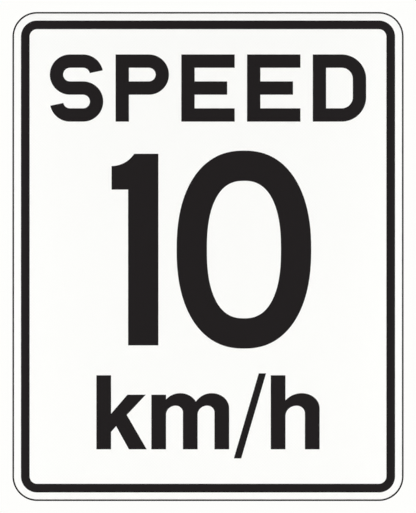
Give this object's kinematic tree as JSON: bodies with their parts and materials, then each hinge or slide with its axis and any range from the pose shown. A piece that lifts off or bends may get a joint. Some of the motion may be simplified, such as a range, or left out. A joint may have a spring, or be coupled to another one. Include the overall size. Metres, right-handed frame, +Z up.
{
  "type": "road sign panel with post clamps",
  "caption": "Upright rectangular road sign panel with round corners, a black legend, two channel rails on its back and two-part clamps for a round post.",
  "frame": {"origin": "on the axis of the post that the clamps hold, midway between the two clamps and level with the panel's centre", "axes": "+Z up along the post; the face looks along -Y; +X is to the right of someone who reads the sign"},
  "size_m": [0.6, 0.0896, 0.75],
  "materials": {
    "blank_aluminium": "mill",
    "reflective_sheeting": "satin, prismatic",
    "black_film": "satin",
    "rail_aluminium": "extruded",
    "bonding_tape": "foam",
    "cap_plastic": "moulded",
    "clamp_aluminium": "extruded and sawn",
    "zinc_plated_steel": "zinc plated"
  },
  "bodies": {
    "panel": {"blank": "blank_aluminium", "sheeting": "reflective_sheeting", "edge_line": "black_film", "border": "black_film", "letter_s": "black_film", "letter_p": "black_film", "letter_e_first": "black_film", "letter_e_second": "black_film", "letter_d": "black_film", "digit_one": "black_film", "digit_zero": "black_film", "unit_k": "black_film", "unit_m": "black_film", "unit_slash": "black_film", "unit_h_letter": "black_film", "upper_rail": "rail_aluminium", "upper_tapes": "bonding_tape", "upper_end_caps": "cap_plastic", "lower_rail": "rail_aluminium", "lower_tapes": "bonding_tape", "lower_end_caps": "cap_plastic"},
    "upper_clamp": {"upper_saddle": "clamp_aluminium", "upper_bolts": "zinc_plated_steel"},
    "upper_clamp_jaw": {"upper_jaw": "clamp_aluminium", "upper_flat_washers": "zinc_plated_steel", "upper_spring_washers": "zinc_plated_steel"},
    "upper_left_nut": {"upper_nut_left": "zinc_plated_steel"},
    "upper_right_nut": {"upper_nut_right": "zinc_plated_steel"},
    "lower_clamp": {"lower_saddle": "clamp_aluminium", "lower_bolts": "zinc_plated_steel"},
    "lower_clamp_jaw": {"lower_jaw": "clamp_aluminium", "lower_flat_washers": "zinc_plated_steel", "lower_spring_washers": "zinc_plated_steel"},
    "lower_left_nut": {"lower_nut_left": "zinc_plated_steel"},
    "lower_right_nut": {"lower_nut_right": "zinc_plated_steel"}
  },
  "joints": [
    {"name": "upper_clamp_slide", "type": "slide", "parent": "panel", "child": "upper_clamp", "axis": [1, 0, 0], "range_m": [-0.21, 0.21]},
    {"name": "upper_jaw_open", "type": "slide", "parent": "upper_clamp", "child": "upper_clamp_jaw", "axis": [0, 1, 0], "range_m": [0, 0.012]},
    {"name": "upper_left_nut_turn", "type": "hinge", "parent": "upper_clamp_jaw", "child": "upper_left_nut", "pos_m": [-0.04605, 0, 0.225], "axis": [0, 1, 0], "range_deg": [0, 3457]},
    {"name": "upper_right_nut_turn", "type": "hinge", "parent": "upper_clamp_jaw", "child": "upper_right_nut", "pos_m": [0.04605, 0, 0.225], "axis": [0, 1, 0], "range_deg": [0, 3457]},
    {"name": "lower_clamp_slide", "type": "slide", "parent": "panel", "child": "lower_clamp", "axis": [1, 0, 0], "range_m": [-0.21, 0.21]},
    {"name": "lower_jaw_open", "type": "slide", "parent": "lower_clamp", "child": "lower_clamp_jaw", "axis": [0, 1, 0], "range_m": [0, 0.012]},
    {"name": "lower_left_nut_turn", "type": "hinge", "parent": "lower_clamp_jaw", "child": "lower_left_nut", "pos_m": [-0.04605, 0, -0.225], "axis": [0, 1, 0], "range_deg": [0, 3457]},
    {"name": "lower_right_nut_turn", "type": "hinge", "parent": "lower_clamp_jaw", "child": "lower_right_nut", "pos_m": [0.04605, 0, -0.225], "axis": [0, 1, 0], "range_deg": [0, 3457]}
  ],
  "couplings": [
    {"joint": "upper_left_nut_turn", "follows": "upper_jaw_open", "rad_per_m": 5026.5},
    {"joint": "upper_right_nut_turn", "follows": "upper_jaw_open", "rad_per_m": 5026.5},
    {"joint": "lower_left_nut_turn", "follows": "lower_jaw_open", "rad_per_m": 5026.5},
    {"joint": "lower_right_nut_turn", "follows": "lower_jaw_open", "rad_per_m": 5026.5}
  ]
}
